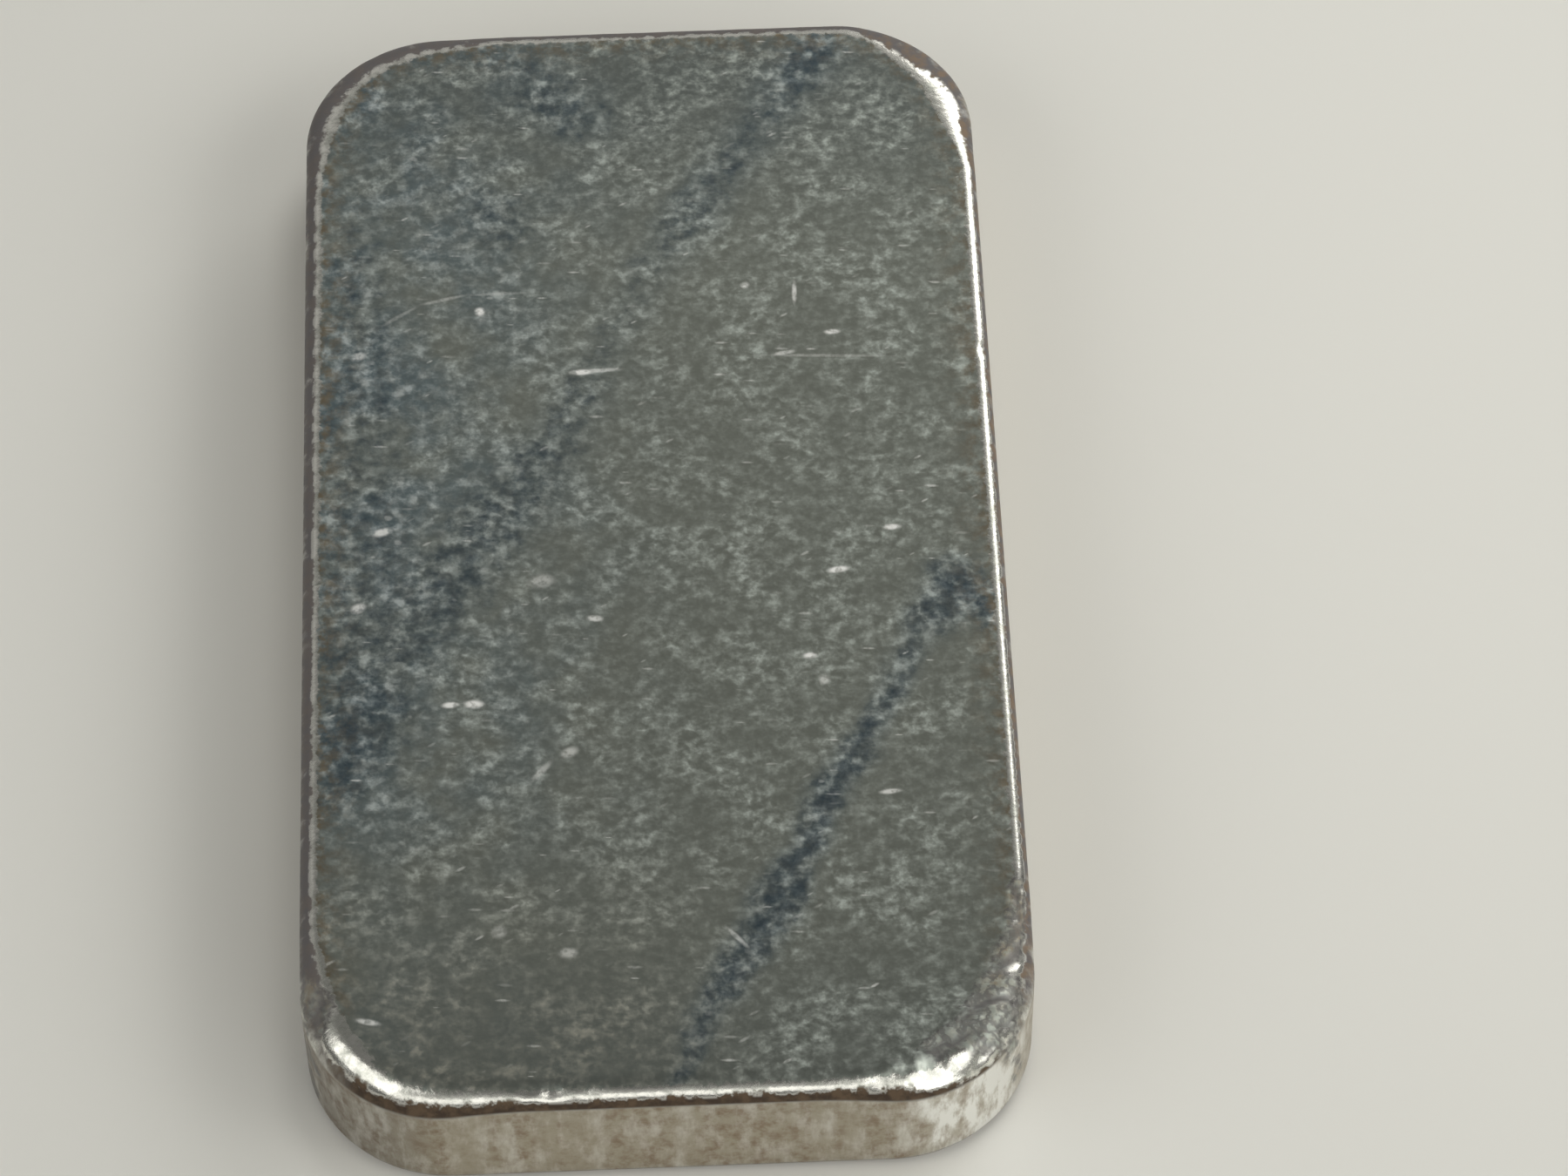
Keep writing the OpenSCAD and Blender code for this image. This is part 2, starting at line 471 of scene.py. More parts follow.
def upper_sheet(tree, given, sheet):
    """The top face, with a border that lies further in where the edge is rolled wider."""
    outward = named(tree, "outward", "FLOAT_VECTOR")
    position = tree.node("GeometryNodeInputPosition").outputs[0]
    size = tree.vector("ABSOLUTE", position)
    less_corner = tree.times(given["Corner Radius"], -1.0)
    middle = tree.combine(tree.math("MULTIPLY_ADD", given["Width"], 0.5, less_corner),
                          tree.math("MULTIPLY_ADD", given["Length"], 0.5, less_corner))
    x, y, _ = tree.split(tree.vector("SUBTRACT", size, middle))
    # the wide roll of a corner runs out a little way along the straights
    corner = tree.ramp(tree.math("MINIMUM", x, y), -4.5 * MM, 2.5 * MM)
    out_x, out_y, _ = tree.split(outward)
    side = tree.blend(tree.ramp(out_x, -0.9, -0.3, 1.0, 0.0), given["Side Roll"], given["Left Roll"])
    straight = tree.blend(tree.ramp(out_y, 0.3, 0.9), side, given["Far Roll"])
    straight = tree.blend(tree.ramp(out_y, -0.9, -0.3, 1.0, 0.0), straight, given["Near Roll"])
    # the far right corner is rolled widest towards the right side; the far corners are not as deep as wide
    right, far = (tree.ramp(place, -1.0 * MM, 1.0 * MM) for place in tree.split(position)[:2])
    far_right = tree.times(right, far)
    widest = tree.blend(tree.ramp(out_x, 0.0, 0.8), given["Far Roll"], given["Far Right Roll"])
    share = tree.blend(corner, straight, tree.blend(far_right, given["Corner Roll"], widest))
    radius = tree.times(given["Edge Radius"], share)
    deepest = tree.blend(far, share, given["Far Depth"])
    depth = tree.times(given["Edge Radius"], tree.math("MINIMUM", share, deepest))
    inset = tree.math("SUBTRACT", named(tree, "inset"), given["Edge Radius"])
    near = tree.ramp(inset, 0.0, BORDER_REACH_MM * MM, 1.0, 0.0, "LINEAR")
    sheet = stored(tree, sheet, "border", "FLOAT", near)
    shift = tree.scale(outward, tree.times(tree.math("SUBTRACT", given["Edge Radius"], radius), near))
    height = tree.combine(0.0, 0.0, given["Thickness"])
    top = stored(tree, sheet, "roll_radius", "FLOAT", radius)
    top = stored(tree, top, "roll_depth", "FLOAT", depth)
    top = moved(tree, top, offset=tree.vector("ADD", shift, height))
    top = stored(tree, top, "outline", "FLOAT_VECTOR", tree.node("GeometryNodeInputPosition"))
    return stored(tree, top, "roll", "FLOAT", 0.0)


def drawn_rim(tree, given, face):
    """The border drawn out row by row: over the upper rolled edge, down the wall, under the lower one.

    The attribute roll counts from 0 on the top face to 1 on the wall and 2 on the underside.
    """
    start = tree.node("GeometryNodeRepeatInput")
    end = tree.node("GeometryNodeRepeatOutput")
    start.pair_with_output(end)
    end.repeat_items.new("BOOLEAN", "Border")
    steps, edge = given["Edge Steps"], given["Edge Radius"]
    tree.feed(start.inputs["Iterations"], tree.math("MULTIPLY_ADD", steps, 2.0, given["Wall Steps"]))
    tree.feed(start.inputs["Geometry"], face)
    tree.feed(start.inputs["Border"],
              tree.math("LESS_THAN", tree.node("GeometryNodeInputMeshEdgeNeighbors"), 1.5))
    step = tree.math("ADD", start.outputs["Iteration"], 1.0)
    upper = tree.math("DIVIDE", step, steps, clamp=True)
    after = tree.math("SUBTRACT", step, steps)
    down = tree.math("DIVIDE", after, given["Wall Steps"], clamp=True)
    lower = tree.math("DIVIDE", tree.math("SUBTRACT", after, given["Wall Steps"]), steps, clamp=True)
    upper_turn = tree.times(upper, math.pi / 2)
    lower_turn = tree.times(lower, math.pi / 2)
    radius, depth = named(tree, "roll_radius"), named(tree, "roll_depth")
    pulled_in = tree.times(edge, tree.math("SUBTRACT", 1.0, tree.math("COSINE", lower_turn)))
    out = tree.math("SUBTRACT", tree.times(radius, tree.math("SINE", upper_turn)), pulled_in)
    land = tree.math("SUBTRACT", tree.math("SUBTRACT", given["Thickness"], depth), edge)
    drop = tree.times(depth, tree.math("SUBTRACT", 1.0, tree.math("COSINE", upper_turn)))
    drop = tree.math("MULTIPLY_ADD", land, down, drop)
    drop = tree.math("MULTIPLY_ADD", edge, tree.math("SINE", lower_turn), drop)
    row = tree.node("GeometryNodeExtrudeMesh", {
        "Mesh": start.outputs["Geometry"], "Selection": start.outputs["Border"], "Offset Scale": 0.0},
        mode="EDGES")
    fresh = row.outputs["Top"]
    place = tree.vector("ADD", named(tree, "outline", "FLOAT_VECTOR"),
                        tree.scale(named(tree, "outward", "FLOAT_VECTOR"), out))
    place = tree.vector("SUBTRACT", place, tree.combine(0.0, 0.0, drop))
    rim = moved(tree, row.outputs["Mesh"], selection=fresh, position=place)
    rim = stored(tree, rim, "roll", "FLOAT", tree.math("ADD", upper, lower), fresh)
    rim = stored(tree, rim, "inset", "FLOAT", tree.math("SUBTRACT", radius, out), fresh)
    tree.feed(end.inputs["Geometry"], rim)
    tree.feed(end.inputs["Border"], fresh)
    return end.outputs["Geometry"]


def scattered_dents(tree, given, bar):
    """Depth of the dents that are scattered over the upper rolled edge."""
    roll = named(tree, "roll")
    on_edge = tree.times(tree.math("GREATER_THAN", roll, 0.1), tree.math("LESS_THAN", roll, 0.95))
    points = tree.node("GeometryNodeDistributePointsOnFaces", {
        "Mesh": bar, "Selection": on_edge, "Distance Min": given["Dent Spacing"],
        "Density Max": 4.0e5, "Seed": given["Seed"]}, distribute_method="POISSON")
    near = tree.node("GeometryNodeProximity", {"Target": points.outputs["Points"]}, target_element="POINTS")
    uneven = tree.noise(tree.node("GeometryNodeInputPosition").outputs[0], 220.0, 0.0)
    radius = tree.times(given["Dent Radius"], tree.ramp(uneven, 0.3, 0.7, 0.35, 1.5, "LINEAR"))
    hollow = tree.ramp(tree.math("DIVIDE", near.outputs["Distance"], radius), 0.0, 1.0, 1.0, 0.0)
    # the near end and the right side keep their smooth bright lines
    out_x, out_y, _ = tree.split(named(tree, "outward", "FLOAT_VECTOR"))
    return tree.times(hollow, given["Dent Depth"], tree.ramp(out_y, -0.5, -0.1),
                      tree.ramp(out_x, 0.8, 0.98, 1.0, 0.0))


def toning_masks(tree):
    """Where the face is toned: the wandering streaks, and the thin film round them and over the left side."""
    position = tree.node("GeometryNodeInputPosition").outputs[0]
    flat = tree.vector("MULTIPLY", position, (1.0, 1.0, 0.0))
    slow = tree.noise(flat, 330.0, output="Color")
    sway = (2.4 * MM, 2.4 * MM, 0.0)
    wander = tree.vector("MULTIPLY", tree.vector("SUBTRACT", slow, (0.5, 0.5, 0.5)), sway)
    place = tree.vector("ADD", flat, wander)
    stroke = stroke_group()
    streaks = 0.0
    for line in TONING_STREAKS:
        for (x0, y0, w0, s0), (x1, y1, w1, s1) in zip(line, line[1:]):
            made = tree.group(stroke, place=place, start=on_face(x0, y0), end=on_face(x1, y1),
                              start_width=w0 * MM, end_width=w1 * MM, start_strength=s0, end_strength=s1)
            streaks = tree.largest(made.outputs["Mask"], streaks)
    across, along, _ = tree.split(flat)
    left = tree.times(tree.ramp(across, -20.0 * MM, 5.0 * MM, 1.0, 0.0),
                      tree.ramp(along, -28.0 * MM, -12.0 * MM, 0.25, 1.0))
    cloud = tree.ramp(tree.noise(flat, 150.0, 3.0, 0.6), 0.34, 0.62)
    film = tree.largest(tree.times(left, cloud), tree.times(streaks, 0.9))
    return streaks, film


def bar_tree(dents, bruises):
    """The whole bar by rule: two round-cornered faces, the rim drawn between them, then its wear."""
    numbers = ("Width", "Length", "Thickness", "Corner Radius", "Edge Radius", "Side Roll", "Left Roll",
               "Far Roll", "Near Roll", "Corner Roll", "Far Right Roll", "Far Depth", "Cell",
               "Wave Height", "Wave Size", "Ripple Height", "Ripple Size",
               "Dent Depth", "Dent Radius", "Dent Spacing")
    counts = ("Edge Steps", "Wall Steps", "Seed")
    tree, given = new_group(
        "Rolled Silver Bar", "GeometryNodeTree",
        (*((name, "Float") for name in numbers), *((name, "Int") for name in counts),
         ("Material", "Material")),
        (("Geometry", "Geometry"),))
    sheet = face_sheet(tree, given)
    under = tree.node("GeometryNodeFlipFaces", {"Mesh": sheet}).outputs[0]
    under = stored(tree, under, "roll", "FLOAT", 2.0)
    both = tree.node("GeometryNodeJoinGeometry")
    for part in (drawn_rim(tree, given, upper_sheet(tree, given, sheet)), under):
        tree.feed(both.inputs["Geometry"], part)
    bar = tree.node("GeometryNodeMergeByDistance", {"Geometry": both, "Distance": 0.01 * MM}).outputs[0]
    streaks, film = toning_masks(tree)
    bar = stored(tree, bar, "toning", "FLOAT", streaks)
    bar = stored(tree, bar, "film", "FLOAT", film)

    position = tree.node("GeometryNodeInputPosition").outputs[0]
    normal = tree.node("GeometryNodeInputNormal").outputs["Normal"]
    roll = named(tree, "roll")
    # slow waves of the face fade out over the rolled edge
    waves = tree.noise(position, tree.math("DIVIDE", 1.0, given["Wave Size"]), 1.0)
    wave = tree.times(tree.math("SUBTRACT", waves, 0.5), given["Wave Height"], 2.0,
                      tree.ramp(roll, 0.0, 1.0, 1.0, 0.0))
    out_x, out_y, _ = tree.split(named(tree, "outward", "FLOAT_VECTOR"))
    ripples = tree.noise(position, tree.math("DIVIDE", 1.0, given["Ripple Size"]), 2.0, 0.6)
    ripple = tree.times(tree.math("SUBTRACT", ripples, 0.55), given["Ripple Height"],
                        tree.ramp(roll, 0.0, 0.3), tree.ramp(roll, 0.8, 1.0, 1.0, 0.15),
                        tree.ramp(out_x, 0.8, 0.98, 1.0, 0.3))
    depth = scattered_dents(tree, given, bar)
    dent = dent_group()
    for place, radius, deep in dents:
        depth = tree.math("ADD", depth, tree.group(dent, place=place, radius=radius, depth=deep))
    lift = tree.math("SUBTRACT", ripple, tree.times(depth, tree.math("LESS_THAN", roll, 1.5)))
    bruise = bruise_group()
    mask = press = fold = 0.0
    for values in bruises:
        made = tree.group(bruise, **values)
        mask = tree.largest(made.outputs["Mask"], mask)
        fold = tree.largest(made.outputs["Fold"], fold)
        press = tree.math("ADD", made.outputs["Depth"], press)
    # towards the near end and the right side only the inner part of the roll is bruised
    limit = tree.times(tree.ramp(out_y, -0.95, -0.5, 0.25, 0.85), tree.ramp(out_x, 0.85, 0.99, 1.0, 0.35),
                       tree.ramp(ripples, 0.35, 0.65, 0.5, 1.4))
    mask = tree.times(mask, tree.ramp(tree.math("SUBTRACT", roll, limit), -0.15, 0.1, 1.0, 0.0))
    press = tree.times(press, tree.ramp(roll, 0.4, 1.0, 1.0, 0.0))
    bar = stored(tree, bar, "bruise", "FLOAT", mask)
    # the fold attribute carries the painted shade between a bruise's folds
    bar = stored(tree, bar, "fold", "FLOAT", fold)
    shift = tree.combine(0.0, 0.0, tree.math("SUBTRACT", wave, press))
    bar = moved(tree, bar, offset=tree.vector("ADD", tree.scale(normal, lift), shift))
    bar = tree.node("GeometryNodeSetShadeSmooth", {"Geometry": bar})
    bar = tree.node("GeometryNodeRealizeInstances", {"Geometry": bar})
    bar = tree.node("GeometryNodeSetMaterial", {"Geometry": bar, "Material": given["Material"]})
    tree.feed(tree.result.inputs["Geometry"], bar)
    return tree.tree


def haze_group():
    """Pale haze: grainy flecks in slow clouds, specks where the surface is busy and dust; also the clouds."""
    tree, given = new_group(
        "Haze", "ShaderNodeTree",
        (("Vector", "Vector"), ("Blots", "Float"), ("Grain", "Float"), ("Busy", "Float")),
        (("Mask", "Float"), ("Cloud", "Float")))
    squeezed = tree.vector("MULTIPLY", given["Vector"], (1.05, 1.25, 1.0))
    flecks = tree.noise(squeezed, 1.0, 4.0, 0.62, distortion=0.2)
    cloud = tree.ramp(tree.noise(given["Vector"], 0.24, 3.0, 0.6), 0.36, 0.64)
    flecks = tree.times(tree.ramp(flecks, 0.36, 0.72), tree.ramp(cloud, 0.0, 1.0, 0.18, 0.8, "LINEAR"),
                        tree.ramp(given["Grain"], 0.3, 0.66, 0.6, 1.3))
    specks = tree.times(tree.ramp(given["Blots"], 0.5, 0.72), tree.ramp(given["Busy"], 0.0, 0.7, 0.1, 0.6))
    dust = tree.ramp(given["Grain"], 0.42, 0.74, 0.0, 0.16)
    mask = tree.math("ADD", tree.math("ADD", flecks, specks), dust, clamp=True)
    tree.feed(tree.result.inputs["Mask"], mask)
    tree.feed(tree.result.inputs["Cloud"], cloud)
    return tree.tree


def nick_group():
    """Short straight nicks, one to a cell and only in some cells."""
    tree, given = new_group(
        "Nicks", "ShaderNodeTree",
        (("Vector", "Vector"), ("Angle", "Float"), ("Length", "Float"), ("Slimness", "Float"),
         ("Share", "Float")),
        (("Mask", "Float"),))
    turned = tree.node("ShaderNodeVectorRotate", {"Vector": given["Vector"], "Angle": given["Angle"]},
                       rotation_type="Z_AXIS")
    slim = tree.vector("MULTIPLY", turned, tree.combine(1.0, given["Slimness"], 1.0))
    cells = tree.node("ShaderNodeTexVoronoi", {
        "Vector": slim, "Scale": tree.math("DIVIDE", 0.8, given["Length"]), "Randomness": 0.9},
        voronoi_dimensions="2D", feature="F1")
    pick, bright, size = tree.split(cells.outputs["Color"])
    reach = tree.ramp(size, 0.0, 1.0, 0.12, 0.34, "LINEAR")
    spot = tree.ramp(tree.math("DIVIDE", cells.outputs["Distance"], reach), 0.35, 1.0, 1.0, 0.0)
    glow = tree.ramp(tree.math("POWER", bright, 2.0), 0.0, 1.0, 0.2, 1.0, "LINEAR")
    picked = tree.math("LESS_THAN", pick, given["Share"])
    tree.feed(tree.result.inputs["Mask"], tree.times(spot, glow, picked))
    return tree.tree


def placed_marks(tree, vector):
    """The strongest of the marks that stand out, each a slim ellipse."""
    mask = 0.0
    for across, along, length, width, turn, strength in BRIGHT_MARKS:
        mapping = tree.node("ShaderNodeMapping", {
            "Vector": vector, "Location": on_face(across, along) / MM,
            "Scale": (MARK_LENGTH_SHARE * length, MARK_WIDTH_SHARE * width, 1.0),
            "Rotation": (0.0, 0.0, math.radians(turn))}, vector_type="TEXTURE")
        spot = tree.ramp(tree.vector("LENGTH", mapping), 0.3, 1.0, strength, 0.0)
        mask = tree.largest(spot, mask)
    return mask


def attribute(tree, name):
    """A stored attribute of the mesh as a number, in a material."""
    return tree.node("ShaderNodeAttribute", attribute_name=name, attribute_type="GEOMETRY").outputs["Fac"]


def silver_material(finish):
    """Bare silver: a toned and hazed face, burnished and tarnished rolled edges, a warm and stained wall,
    with painted shade and a painted highlight in places.
    """
    material = bpy.data.materials.new("toned_silver")
    material.use_nodes = True
    tree = Tree(material.node_tree)
    shader = material.node_tree.nodes["Principled BSDF"]
    spot = tree.scale(tree.node("ShaderNodeTexCoord").outputs["Object"], 1.0 / MM)
    flat = tree.vector("MULTIPLY", spot, (1.0, 1.0, 0.0))
    roll = attribute(tree, "roll")
    bruise = attribute(tree, "bruise")
    toning = attribute(tree, "toning")
    film = attribute(tree, "film")
    border = attribute(tree, "border")
    outward = tree.node("ShaderNodeAttribute", attribute_name="outward", attribute_type="GEOMETRY")
    out_x, out_y, _ = tree.split(outward.outputs["Vector"])
    grain = tree.noise(spot, 2.4, 2.0, 0.6)
    # millimetres outward from the crease, made ragged; at the near end the face's look runs on over it
    run = tree.math("MULTIPLY_ADD", border, BORDER_REACH_MM, -BORDER_REACH_MM)
    run = tree.math("MULTIPLY_ADD", roll, ROLL_RUN_MM, run)
    run = tree.math("ADD", run, tree.math("MULTIPLY_ADD", grain, 0.8, -0.4))
    run = tree.math("SUBTRACT", run, tree.ramp(out_y, -1.0, -0.6, 0.8, 0.0))
    top = tree.ramp(run, -0.08, 0.1, 1.0, 0.0)
    broad = tree.largest(top, tree.ramp(roll, 1.86, 1.98))
    wall = tree.ramp(roll, 0.87, 1.0)

    blots = tree.noise(flat, 0.95, 3.0, 0.55)
    haze, cloud = tree.group(haze_group(), vector=flat, blots=blots, grain=grain, busy=film).outputs
    # toning fills the low places of the blots first, so a weak streak breaks up into patches
    level = tree.math("SUBTRACT", tree.math("MULTIPLY_ADD", toning, 0.5, 0.25), blots)
    dark = tree.times(tree.ramp(level, -0.18, 0.26), tree.ramp(toning, 0.05, 0.4), top, 0.85)
    nick = nick_group()
    glints = tree.group(nick, vector=flat, angle=0.3, length=0.9, slimness=1.4, share=0.1).outputs[0]
    nicks = tree.largest(
        tree.times(glints, film),
        tree.group(nick, vector=flat, angle=0.06, length=1.5, slimness=4.5, share=0.07).outputs[0],
        tree.group(nick, vector=flat, angle=-0.5, length=1.1, slimness=3.2, share=0.03).outputs[0])
    marks = tree.largest(tree.times(nicks, 0.5), placed_marks(tree, flat))
    marks = tree.times(marks, tree.ramp(grain, 0.32, 0.54, 0.55, 1.1), top)
    across, along, height = tree.split(spot)
    stain = tree.ramp(tree.noise(spot, 1.1, 3.0, 0.65), 0.38, 0.68)

    # painted shade: both ends of the face are made a little darker, the far end more
    end_shade = tree.largest(tree.ramp(along, 18.0, 38.0, 0.0, 0.38), tree.ramp(along, -38.0, -28.0, 0.15, 0.0))
    face_colour = tree.mix(film, finish.silver, finish.film)
    face_colour = tree.mix(tree.largest(dark, end_shade), face_colour, finish.toning)
    haze_colour = tree.mix(film, finish.haze, finish.frost)
    # the haze is tanned towards the near left corner
    tanned = tree.times(tree.ramp(along, -38.0, -18.0, 0.6, 0.0), tree.ramp(across, -4.0, 8.0, 1.0, 0.0))
    haze_colour = tree.mix(tanned, haze_colour, finish.tan)
    clear = tree.math("MULTIPLY_ADD", dark, -0.7, 1.0)
    face_colour = tree.mix(tree.times(haze, clear), face_colour, haze_colour)
    by_border = tree.times(tree.math("POWER", border, 3.0), tree.ramp(out_y, -0.6, -0.2))
    tan = tree.math("MULTIPLY_ADD", film, 0.2, by_border, clamp=True)
    face_colour = tree.mix(tree.times(tan, stain), face_colour, finish.tan)
    face_colour = tree.mix(marks, face_colour, finish.scratch)
    # the outer part of the upper roll is tarnished all round, with a painted dark reflection on it,
    # a thinner strip of it at the near end, where it stops at the wall;
    # elsewhere it hangs down the wall in soft drips
    smear = tree.noise(tree.vector("MULTIPLY", spot, (0.8, 0.8, 0.3)), 1.0, 4.0, 0.65)
    near_start = tree.ramp(out_x, 0.0, 0.6, 0.66, 0.88)
    far_start = tree.math(
        "ADD", tree.ramp(out_x, 0.65, 1.0, 0.27, 0.48), tree.ramp(out_y, 0.1, 0.7, 0.0, -0.09))
    start = tree.blend(tree.ramp(out_y, -0.6, -0.1), near_start, far_start)
    past = tree.math("SUBTRACT", tree.math("MULTIPLY_ADD", stain, 0.15, roll), start)
    drips = tree.ramp(tree.math("MULTIPLY_ADD", smear, 4.0, height), 8.4, 10.4)
    held = tree.blend(tree.ramp(out_y, -0.8, -0.4), tree.math("SUBTRACT", 1.0, wall), drips)
    # painted contact shade: the lower roll is darkened round the bottom edge of the bar
    foot_shade = tree.times(tree.ramp(roll, 1.1, 1.4), tree.ramp(roll, 1.7, 1.95, 1.0, 0.0))
    tarnish = tree.largest(tree.times(tree.ramp(past, -0.05, 0.08), held), foot_shade)
    # colours of the dark bands, tarnished silver and stain under a painted dark reflection: brown-black at the
    # near end, grey elsewhere
    near_colour = tree.mix(tree.times(stain, 0.3), finish.tarnish, finish.stain)
    patina = tree.mix(tree.times(stain, tree.ramp(out_x, 0.0, 0.6, 0.15, 0.7)), finish.patina, finish.stain)
    tarnish_and_shade_colour = tree.mix(tree.ramp(out_y, -0.8, 0.0), near_colour, patina)
    edge_colour = tree.mix(tree.times(stain, 0.6), finish.edge, finish.silver)
    scuffs_and_sheen = tree.ramp(smear, 0.46, 0.72, 0.0, 0.35)
    # stains gather in bands along the wall, and painted shade darkens it more on the left
    wall_stain_and_shade = tree.math(
        "ADD", tree.ramp(cloud, 0.1, 0.9, 0.85, 0.25), tree.ramp(out_x, -0.9, -0.3, 0.2, 0.0))
    wall_colour = tree.mix(tree.times(stain, wall_stain_and_shade), finish.wall, finish.stain)
    # painted shade greys the wall towards the left; a painted highlight pales it round the near right corner
    wall_colour = tree.mix(tree.ramp(out_x, -0.5, 0.1, 0.38, 0.0), wall_colour, finish.patina)
    # painted highlight: smears towards the scratch colour round the near right corner of the wall, added to
    # the real scuff marks
    corner_sheen = tree.times(tree.ramp(out_x, -0.1, 0.4), tree.ramp(out_y, -0.7, -0.2, 1.0, 0.0))
    scuffs_and_sheen = tree.math("MULTIPLY_ADD", corner_sheen, tree.ramp(smear, 0.34, 0.58, 0.2, 1.0), scuffs_and_sheen, clamp=True)
    wall_colour = tree.mix(scuffs_and_sheen, wall_colour, finish.scratch)
    rim_colour = tree.mix(wall, edge_colour, wall_colour)
    rim_colour = tree.mix(tarnish, rim_colour, tarnish_and_shade_colour)
    colour = tree.mix(broad, rim_colour, face_colour)
    mottled = tree.mix(tree.ramp(grain, 0.35, 0.65, 0.0, 0.3), face_colour, finish.tan)
    # painted shade in wavy crease lines that follow one level of the blots
    crease_shade = tree.ramp(tree.math("ABSOLUTE", tree.math("SUBTRACT", blots, 0.5)), 0.02, 0.09, 0.7, 0.0)
    # the bruise is darkened between its folds and along its crease lines, as painted shade
    gloom = tree.largest(tree.times(attribute(tree, "fold"), 0.85), crease_shade)
    bruised = tree.mix(gloom, mottled, finish.patina)
    # a broken line of painted shade runs round a bruise
    rim = tree.times(bruise, tree.math("SUBTRACT", 1.0, bruise), tree.ramp(grain, 0.4, 0.6, 0.5, 3.0))
    colour = tree.mix(bruise, colour, bruised)
    tree.feed(shader.inputs["Base Color"], tree.mix(rim, colour, finish.patina))

    face_rough = tree.math("MULTIPLY_ADD", haze, 0.12, 0.3)
    rim_rough = tree.math("MULTIPLY_ADD", stain, 0.12, tree.blend(wall, 0.17, 0.28))
    rim_rough = tree.blend(tarnish, rim_rough, 0.55)
    rough = tree.blend(broad, rim_rough, face_rough)
    tree.feed(shader.inputs["Roughness"], tree.blend(bruise, rough, 0.4))

    dull = tree.times(tree.largest(tree.times(haze, 0.2), tree.times(marks, 0.8)), top)
    dull = tree.largest(dull, tree.times(tarnish, 0.92), tree.times(bruise, 0.5))
    tree.feed(shader.inputs["Metallic"], tree.math("SUBTRACT", 1.0, dull))
    shader.inputs["Specular IOR Level"].default_value = 0.15

    # the many marks stay out of the height, which is worked out three times over at each point
    relief = tree.times(grain, tree.blend(broad, 0.7, 0.35))
    blot_relief = tree.math("MULTIPLY_ADD", bruise, 3.0, tree.ramp(film, 0.0, 0.8, 0.3, 0.9))
    relief = tree.math("MULTIPLY_ADD", blots, blot_relief, relief)
    bump = tree.node("ShaderNodeBump", {"Height": relief, "Distance": 0.02 * MM, "Strength": 1.0})
    tree.feed(shader.inputs["Normal"], bump)
    return material


def build_bar(shape, wear, finish):
    """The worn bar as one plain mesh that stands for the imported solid."""
    corner_x = BAR_SIZE.x / 2 - shape.corner_radius
    corner_y = shape.corner_radius - BAR_SIZE.y / 2
    bruises = [
        {"centre": Vector((side * corner_x, corner_y, 0.0)), "outer_radius": shape.corner_radius,
         "direction": Vector((*heading, 0.0)).normalized(), "reach": reach * MM,
         "half_angle": math.radians(angle), "depth": depth * MM, "lump_size": lump * MM, "gloom": gloom}
        for side, heading, reach, angle, depth, lump, gloom in CORNER_BRUISES]
    dents = [
        (on_face(across, along, BAR_SIZE.z - below * MM), radius * MM, depth * MM)
        for across, along, below, radius, depth in EDGE_DENTS]
    bar = bpy.data.objects.new("worn_silver_bar", bpy.data.meshes.new("rolled_silver_bar"))
    bpy.context.collection.objects.link(bar)
    modifier = bar.modifiers.new("Rolled Silver Bar", "NODES")
    modifier.node_group = bar_tree(dents, bruises)
    values = {"Material": silver_material(finish)}
    for group in (shape, wear):
        for name in group.__annotations__:
            values[name.replace("_", " ").title()] = getattr(group, name)
    for item in modifier.node_group.interface.items_tree:
        if item.in_out == "INPUT":
            modifier[item.identifier] = values[item.name]
    graph = bpy.context.evaluated_depsgraph_get()
    plain = bpy.data.meshes.new_from_object(
        bar.evaluated_get(graph), preserve_all_data_layers=True, depsgraph=graph)
    bar.modifiers.remove(modifier)
    empty = bar.data
    bar.data = plain
    bpy.data.meshes.remove(empty)
    plain.name = "worn_silver_bar"
    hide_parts("silver_bar")
    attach(bar, "root")


def aim_light(name, lamp, place, target, colour):
    """A lamp put in its place, facing the target and hidden from the camera."""
    lamp.color = colour
    made = bpy.data.objects.new(name, lamp)
    made.location = place
    made.rotation_euler = (Vector(target) - Vector(place)).to_track_quat("-Z", "Y").to_euler()
    made.visible_camera = False
    bpy.context.collection.objects.link(made)
    return made


def area_light(name, heading, height, wide, high, brightness, colour):
    """A soft rectangular light that faces the bar; heading is from +Y towards +X, both angles in degrees."""
    turn, rise = math.radians(heading), math.radians(height)
    place = PANEL_DISTANCE * Vector(
        (math.sin(turn) * math.cos(rise), math.cos(turn) * math.cos(rise), math.sin(rise)))
    lamp = bpy.data.lights.new(name, "AREA")
    lamp.shape = "RECTANGLE"
    lamp.size, lamp.size_y = wide, high
    lamp.energy = brightness * math.pi * wide * high
    aim_light(name, lamp, place, (0.0, 0.0, 0.0), colour)


def pool_light(name, place, target, angle, radius, power, colour):
    """A soft-edged pool of light on the floor, which leaves no spot in the metal."""
    lamp = bpy.data.lights.new(name, "SPOT")
    lamp.spot_size = math.radians(angle)
    lamp.spot_blend = 0.4
    lamp.shadow_soft_size = radius
    lamp.energy = power
    aim_light(name, lamp, place, target, colour).visible_glossy = False


def room_world(stage):
    """Light from all round: brightest half-way up, duller low, overhead, on the left and on the near side."""
    world = bpy.data.worlds.new("soft_room")
    world.use_nodes = True
    tree = Tree(world.node_tree)
    background = world.node_tree.nodes["Background"]
    across, along, up = tree.split(tree.node("ShaderNodeTexCoord").outputs["Generated"])
    light = tree.times(tree.ramp(up, 0.3, 0.52, 0.4, 1.0), tree.ramp(up, 0.66, 0.84, 1.0, 0.42),
                       tree.ramp(along, -0.4, 0.3, 0.8, 1.0), tree.ramp(across, -0.6, -0.4, 0.7, 1.0),
                       stage.ambient)
    background.inputs["Color"].default_value = (*stage.light_colour, 1.0)
    tree.feed(background.inputs["Strength"], light)
    return world


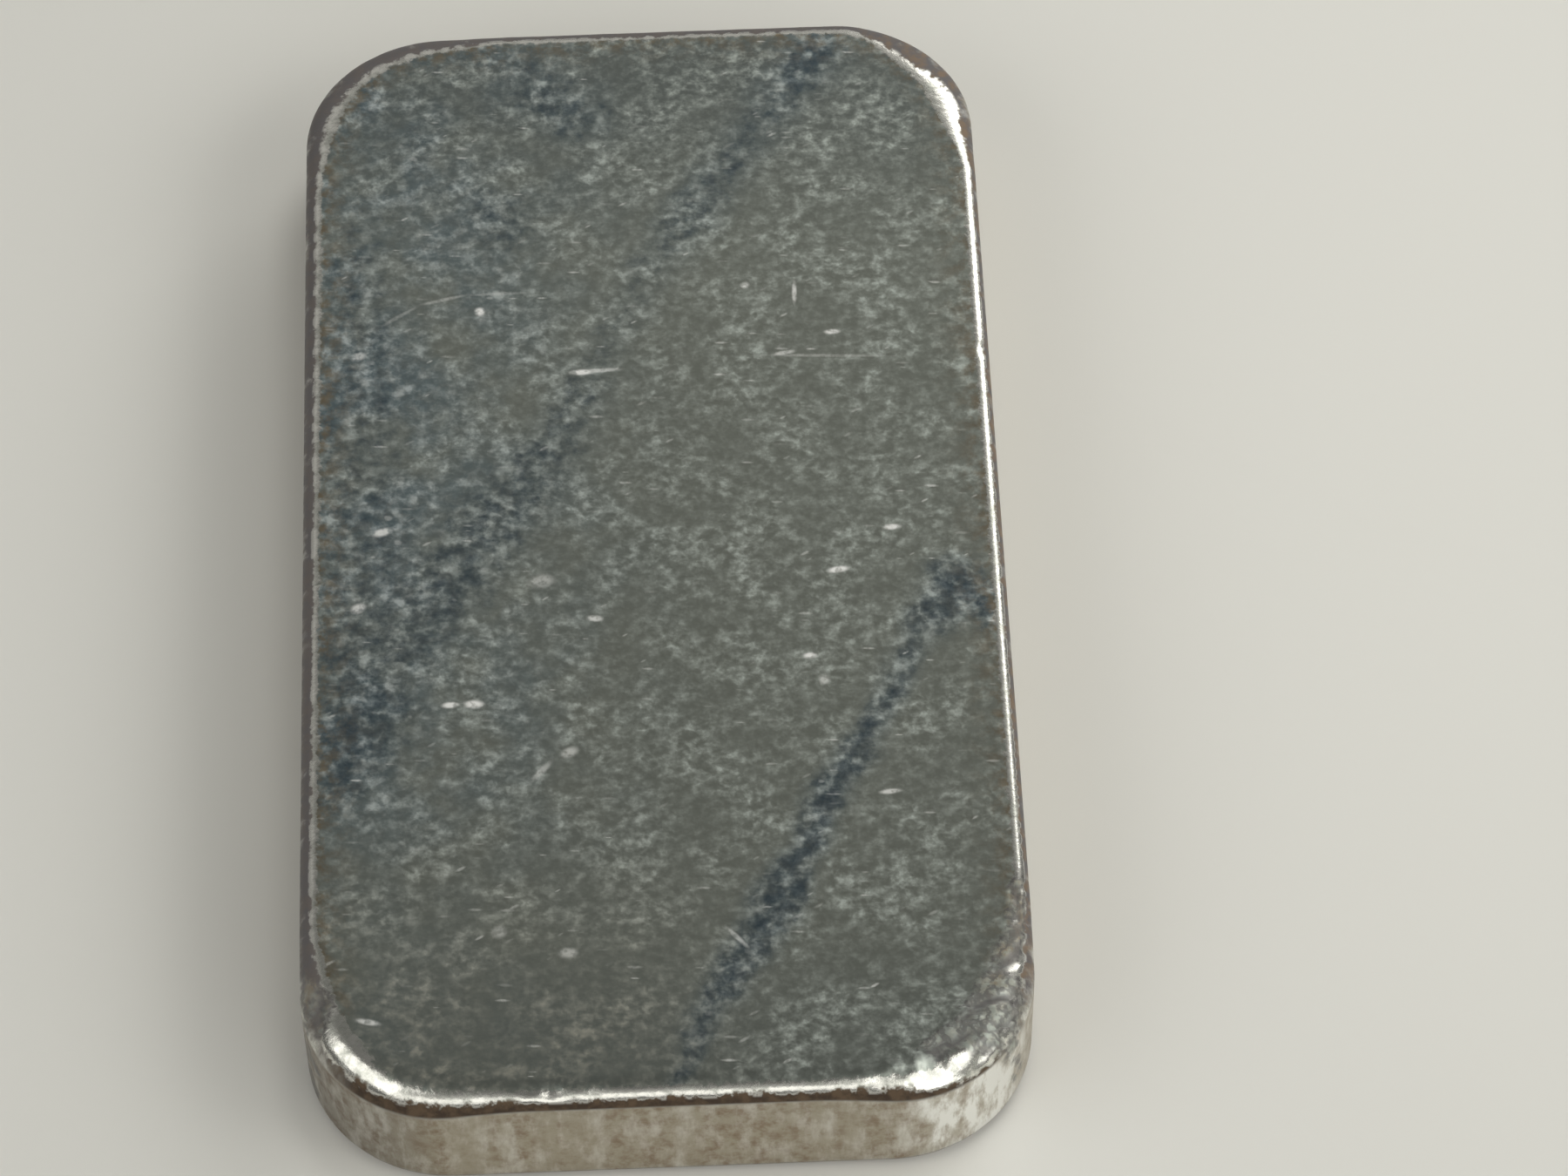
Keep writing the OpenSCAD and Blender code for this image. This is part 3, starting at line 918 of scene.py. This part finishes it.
def build_stage(stage):
    """Pale floor, soft light and the camera at the photograph's angle."""
    mesh = bpy.data.meshes.new("floor")
    signs = ((-1, -1), (1, -1), (1, 1), (-1, 1))
    corners = [(x * FLOOR_REACH, y * FLOOR_REACH, 0.0) for x, y in signs]
    mesh.from_pydata(corners, [], [(0, 1, 2, 3)])
    floor = bpy.data.objects.new("floor", mesh)
    bpy.context.collection.objects.link(floor)
    material = bpy.data.materials.new("pale_floor")
    material.use_nodes = True
    shader = material.node_tree.nodes["Principled BSDF"]
    shader.inputs["Base Color"].default_value = (*stage.floor_colour, 1.0)
    shader.inputs["Roughness"].default_value = 0.7
    shader.inputs["Specular IOR Level"].default_value = 0.2
    mesh.materials.append(material)

    colour = stage.light_colour
    bpy.context.scene.world = room_world(stage)
    for name, values in PANELS.items():
        area_light(name, *values, colour)
    pool_light("far_right_lamp", place=(0.12, 0.09, 0.48), target=(0.08, 0.07, 0.0),
               angle=40.0, radius=0.1, power=1.5, colour=colour)

    camera = bpy.data.cameras.new("camera")
    camera.sensor_width = SENSOR_WIDTH_MM
    camera.lens = stage.lens_mm
    camera.clip_start = 0.01
    made = bpy.data.objects.new("camera", camera)
    flat = math.cos(stage.depression)
    sine, cosine = math.sin(stage.azimuth), math.cos(stage.azimuth)
    ahead = Vector((sine * flat, cosine * flat, -math.sin(stage.depression)))
    level_right = Vector((cosine, -sine, 0.0))
    right = level_right * math.cos(stage.roll) + ahead.cross(level_right) * math.sin(stage.roll)
    turn = Matrix((right, right.cross(ahead), -ahead)).transposed()
    made.matrix_world = Matrix.Translation(Vector(stage.aim) - ahead * stage.distance) @ turn.to_4x4()
    bpy.context.collection.objects.link(made)
    bpy.context.scene.camera = made
    bpy.context.scene.view_settings.view_transform = "Standard"


class SILVERBAR_OT_bar(bpy.types.Operator):
    """Build the worn silver bar"""

    bl_idname = "silverbar.bar"
    bl_label = "Silver Bar"

    def execute(self, context):
        scene = context.scene
        build_bar(scene.bar_shape, scene.bar_wear, scene.bar_finish)
        return {"FINISHED"}


class SILVERBAR_OT_stage(bpy.types.Operator):
    """Build the floor, the light and the camera"""

    bl_idname = "silverbar.stage"
    bl_label = "Stage"

    def execute(self, context):
        build_stage(context.scene.bar_stage)
        return {"FINISHED"}


class SILVERBAR_PT_panel(bpy.types.Panel):
    """Sizes, colours and the two builders"""

    bl_idname = "SILVERBAR_PT_panel"
    bl_label = "Silver Bar"
    bl_space_type = "VIEW_3D"
    bl_region_type = "UI"
    bl_category = "Silver Bar"

    def draw(self, context):
        for name in GROUPS:
            values = getattr(context.scene, name)
            for item in values.__annotations__:
                self.layout.prop(values, item)
        for operator in (SILVERBAR_OT_bar, SILVERBAR_OT_stage):
            self.layout.operator(operator.bl_idname)


GROUPS = {"bar_shape": BarShape, "bar_wear": BarWear, "bar_finish": BarFinish, "bar_stage": StageSetup}
CLASSES = (*GROUPS.values(), SILVERBAR_OT_bar, SILVERBAR_OT_stage, SILVERBAR_PT_panel)


def register():
    for made in CLASSES:
        bpy.utils.register_class(made)
    for name, group in GROUPS.items():
        setattr(bpy.types.Scene, name, PointerProperty(type=group))


def unregister():
    for name in GROUPS:
        delattr(bpy.types.Scene, name)
    for made in reversed(CLASSES):
        bpy.utils.unregister_class(made)


def main():
    register()
    bpy.ops.silverbar.bar()
    bpy.ops.silverbar.stage()


if __name__ == "__main__":
    main()
